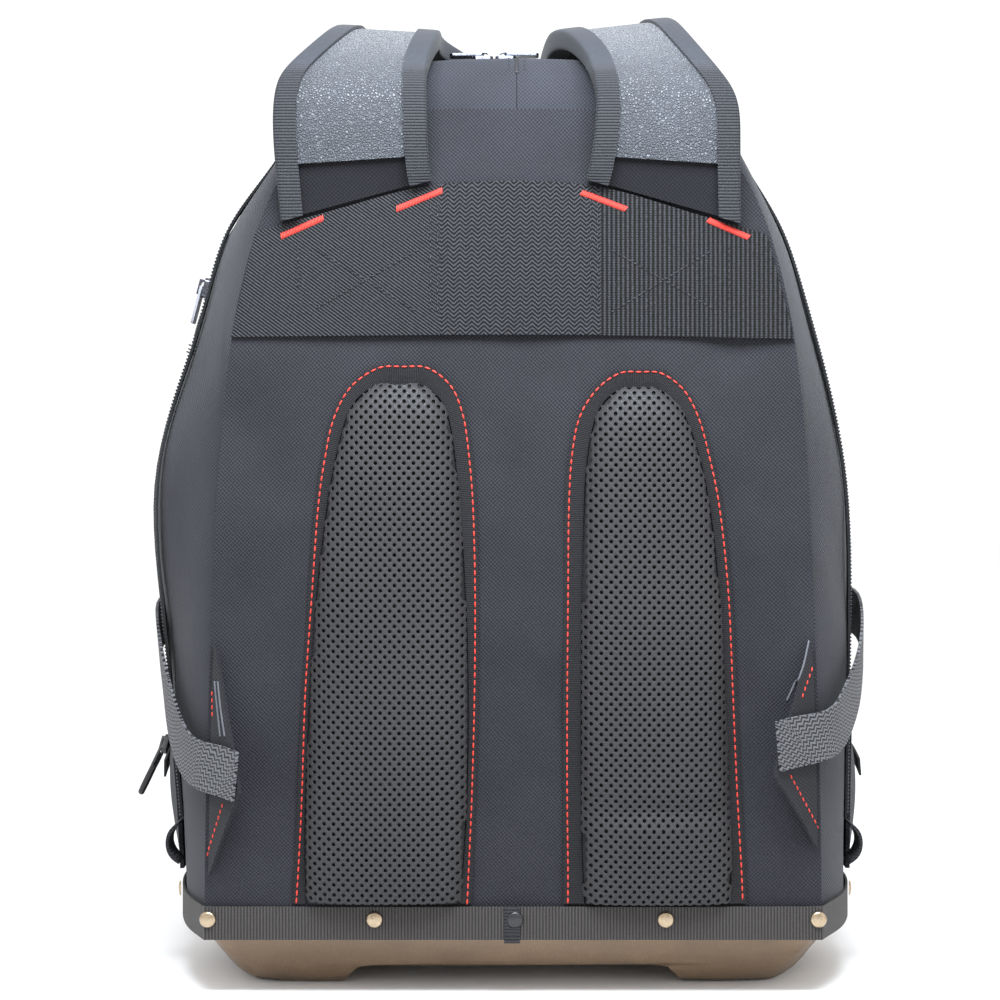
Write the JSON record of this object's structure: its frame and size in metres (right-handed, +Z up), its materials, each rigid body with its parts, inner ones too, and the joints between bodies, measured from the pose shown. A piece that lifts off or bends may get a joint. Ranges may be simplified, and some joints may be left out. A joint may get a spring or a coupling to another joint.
{
  "type": "tool backpack",
  "caption": "Padded backpack with a hard moulded base tray, arched zip opening, leather-faced shoulder straps, mesh back pads and side webbing that holds the strap ends.",
  "frame": {"origin": "centre of the box that holds the bag, seen from above, at the height of the feet; the middle of the back panel is 8.5 mm to the right of it, because the left side and its zip grip reach further", "axes": "+Z up; -Y is the back panel with the pads, the side that lies on the wearer; +Y is the front with the low pocket; +X is to the right when looking at the back panel"},
  "size_m": [0.4002, 0.2452, 0.5],
  "materials": {
    "panel_cloth": "matt woven",
    "gusset_cloth": "matt woven",
    "side_cloth": "matt woven",
    "base_mould": "semi-gloss",
    "band_webbing": "ribbed",
    "rivet_cap": "polished",
    "zip_tape": "matt",
    "yoke_webbing": "ribbed",
    "binding_tape": "ribbed",
    "pad_mesh": "open mesh over foam",
    "strap_cloth": "matt woven",
    "strap_leather": "pebbled",
    "loop_webbing": "flat webbing",
    "plastic": "gloss",
    "grey_plastic": "satin",
    "dark_metal": "dark plated"
  },
  "bodies": {
    "bag": {"back_panel": "panel_cloth", "base_band": "band_webbing", "base_tray": "base_mould", "body_side_left": "side_cloth", "body_side_right": "side_cloth", "front_panel": "panel_cloth", "front_pocket": "side_cloth", "gusset_left": "gusset_cloth", "gusset_right": "gusset_cloth", "pad_flange_left": "binding_tape", "pad_flange_right": "binding_tape", "pad_left": "pad_mesh", "pad_right": "pad_mesh", "pull_pocket": "plastic", "rivet_01": "rivet_cap", "rivet_02": "rivet_cap", "rivet_03": "rivet_cap", "rivet_04": "rivet_cap", "rivet_05": "rivet_cap", "rivet_06": "rivet_cap", "rivet_07": "rivet_cap", "rivet_08": "rivet_cap", "rivet_09": "rivet_cap", "rivet_10": "rivet_cap", "rivet_11": "rivet_cap", "rivet_12": "rivet_cap", "rivet_13": "rivet_cap", "rivet_14": "rivet_cap", "side_loop_left": "loop_webbing", "side_loop_right": "loop_webbing", "slider_front": "dark_metal", "slider_main_left": "dark_metal", "slider_main_right": "dark_metal", "slider_pocket": "plastic", "strap_anchor_left": "band_webbing", "strap_anchor_right": "band_webbing", "strap_binding_left_inner": "binding_tape", "strap_binding_left_outer": "binding_tape", "strap_binding_right_inner": "binding_tape", "strap_binding_right_outer": "binding_tape", "strap_buckle_left": "plastic", "strap_buckle_right": "plastic", "strap_leather_left": "strap_leather", "strap_leather_right": "strap_leather", "strap_pad_left": "strap_cloth", "strap_pad_right": "strap_cloth", "strap_tongue_left": "band_webbing", "strap_tongue_right": "band_webbing", "wing_left": "gusset_cloth", "wing_right": "gusset_cloth", "yoke_band": "yoke_webbing", "zipper_front": "zip_tape", "zipper_main": "zip_tape", "zipper_pocket": "zip_tape"},
    "zip_pull_main_left": {"pull_main_left": "dark_metal"},
    "zip_pull_main_right": {"pull_main_right": "dark_metal"},
    "zip_pull_front": {"pull_front": "grey_plastic"}
  },
  "joints": [
    {"name": "pull_main_left_lift", "type": "hinge", "parent": "bag", "child": "zip_pull_main_left", "pos_m": [-0.00706, -0.04145, 0.48011], "axis": [0.0004, 0.9993, -0.0362], "range_deg": [0, 90]},
    {"name": "pull_main_right_lift", "type": "hinge", "parent": "bag", "child": "zip_pull_main_right", "pos_m": [0.00499, -0.04145, 0.48017], "axis": [-0.0001, -0.9993, 0.0363], "range_deg": [0, 90]},
    {"name": "pull_front_lift", "type": "hinge", "parent": "bag", "child": "zip_pull_front", "pos_m": [-0.15862, -0.00601, 0.36225], "axis": [0.0432, 0.999, -0.0114], "range_deg": [0, 110]}
  ]
}
